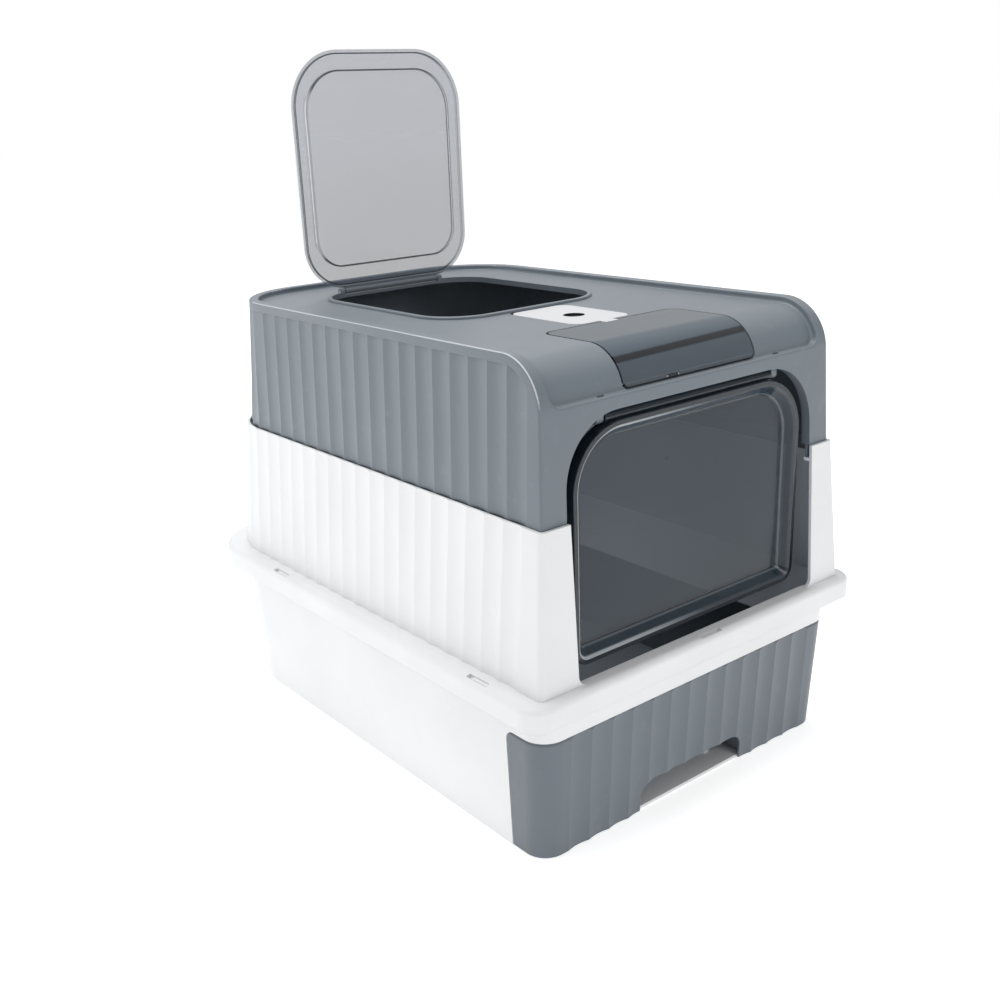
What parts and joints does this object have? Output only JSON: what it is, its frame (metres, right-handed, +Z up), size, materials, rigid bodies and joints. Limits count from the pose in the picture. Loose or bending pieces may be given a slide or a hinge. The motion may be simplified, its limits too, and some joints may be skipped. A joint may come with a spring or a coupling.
{
  "type": "covered litter box",
  "caption": "Covered litter box: open-front base with a sliding tray drawer, ring with doorway, lift-off hood with swinging door, clear roof lid and a small flap compartment.",
  "frame": {"origin": "middle of the footprint on the ground", "axes": "+X to the right seen from the door side, +Y to the rear (the door faces -Y), +Z up"},
  "size_m": [0.35, 0.48, 0.5585],
  "materials": {
    "white_plastic": "satin moulded white",
    "slate_plastic": "satin moulded slate grey",
    "smoked_plastic": "polished smoked translucent",
    "clear_grey_plastic": "polished clear grey",
    "pin_steel": "drawn wire"
  },
  "bodies": {
    "base": {"base_shell": "white_plastic"},
    "drawer": {"drawer_front": "slate_plastic", "litter_tray": "slate_plastic"},
    "ring": {"mid_shell": "white_plastic"},
    "cover": {"top_cover": "slate_plastic", "storage_tub": "slate_plastic", "hatch_hinge_pin": "pin_steel", "door_hinge_pins": "pin_steel", "flap_hinge_pins": "pin_steel"},
    "lid": {"hatch_lid": "clear_grey_plastic"},
    "door": {"front_door": "smoked_plastic"},
    "flap": {"compartment_flap": "smoked_plastic"},
    "latch": {"flap_latch": "white_plastic"}
  },
  "joints": [
    {"name": "drawer_slide", "type": "slide", "parent": "base", "child": "drawer", "axis": [0, -1, 0], "range_m": [0, 0.45]},
    {"name": "ring_lift", "type": "slide", "parent": "base", "child": "ring", "axis": [0, 0, 1], "range_m": [0, 0.06]},
    {"name": "cover_lift", "type": "slide", "parent": "ring", "child": "cover", "axis": [0, 0, 1], "range_m": [0, 0.13]},
    {"name": "lid_hinge", "type": "hinge", "parent": "cover", "child": "lid", "pos_m": [0, 0.152, 0.358], "axis": [1, 0, 0], "range_deg": [0, 90]},
    {"name": "door_swing", "type": "hinge", "parent": "cover", "child": "door", "pos_m": [0, -0.2119, 0.311], "axis": [1, 0, 0], "range_deg": [-60, 80]},
    {"name": "flap_hinge", "type": "hinge", "parent": "cover", "child": "flap", "pos_m": [0, -0.21212, 0.3303], "axis": [1, 0, 0], "range_deg": [0, 90]},
    {"name": "latch_slide", "type": "slide", "parent": "cover", "child": "latch", "axis": [0, 1, 0], "range_m": [0, 0.003]}
  ]
}
